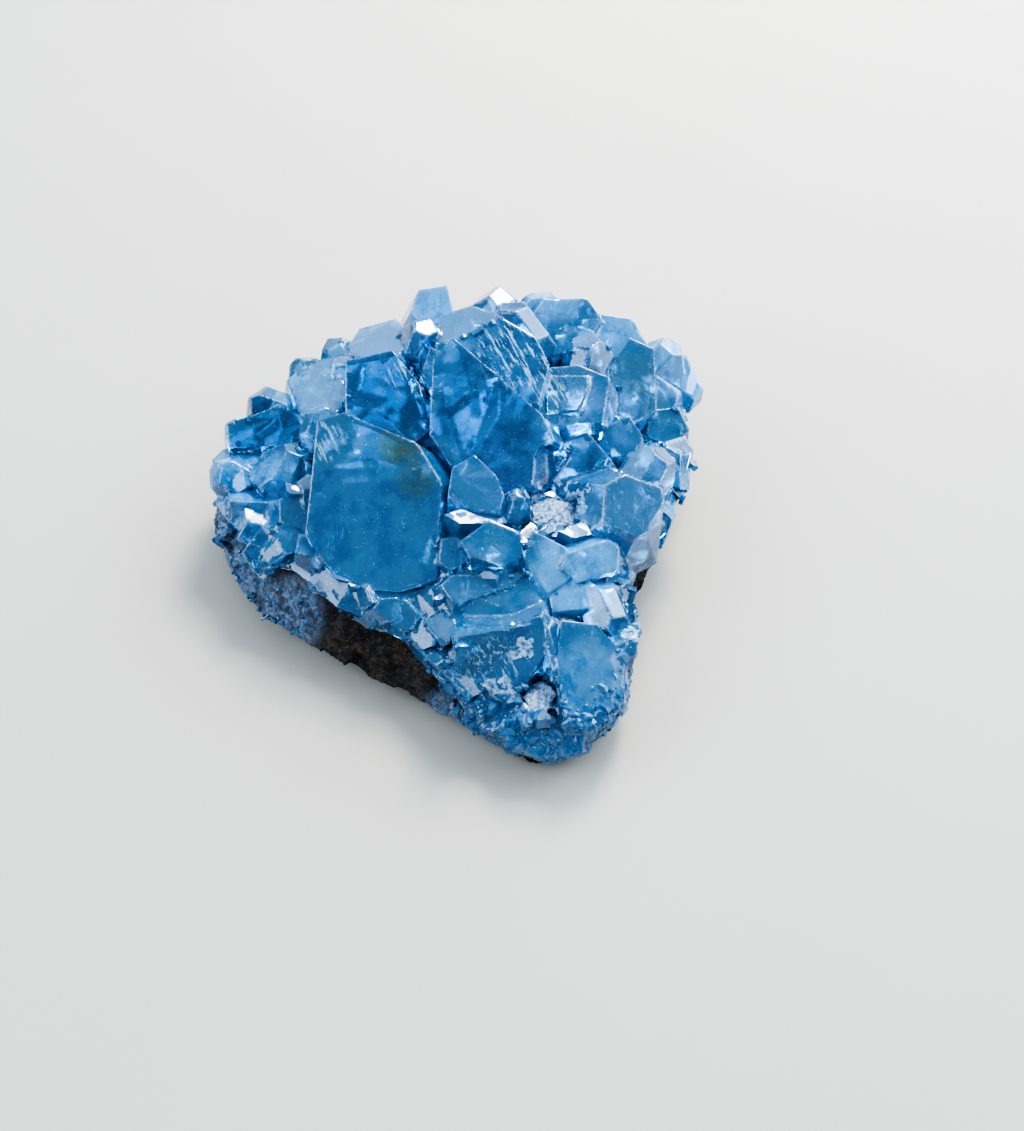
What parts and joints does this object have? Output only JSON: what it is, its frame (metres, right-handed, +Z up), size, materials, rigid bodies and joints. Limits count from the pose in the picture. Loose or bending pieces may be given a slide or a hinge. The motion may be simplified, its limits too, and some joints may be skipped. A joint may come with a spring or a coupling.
{
  "type": "celestite crystal cluster",
  "caption": "Mineral specimen: blocky clear blue celestine crystals intergrown on a broken slab of dark host rock that rests on its flat underside.",
  "frame": {"origin": "under the middle of the specimen, on the plane it rests on", "axes": "+Z up from the rock to the crystals, +X along the specimen's shorter plan side, +Y along its longer one from the pointed lobe to the broad end"},
  "size_m": [0.0936, 0.0962, 0.0357],
  "materials": {
    "host_rock": "rough broken carbonate rock, dark brown to grey with ochre stains",
    "celestine": "clear to milky blue crystal with glassy faces and fractures",
    "pale_rock": "chalky white granular crumbs of host rock"
  },
  "bodies": {
    "root": {"host_rock": "host_rock", "celestine_crystals": "celestine", "pale_crumb_by_the_cleft": "pale_rock", "pale_crumb_on_the_lobe": "pale_rock", "pale_knob_on_the_shelf": "pale_rock"}
  },
  "joints": []
}
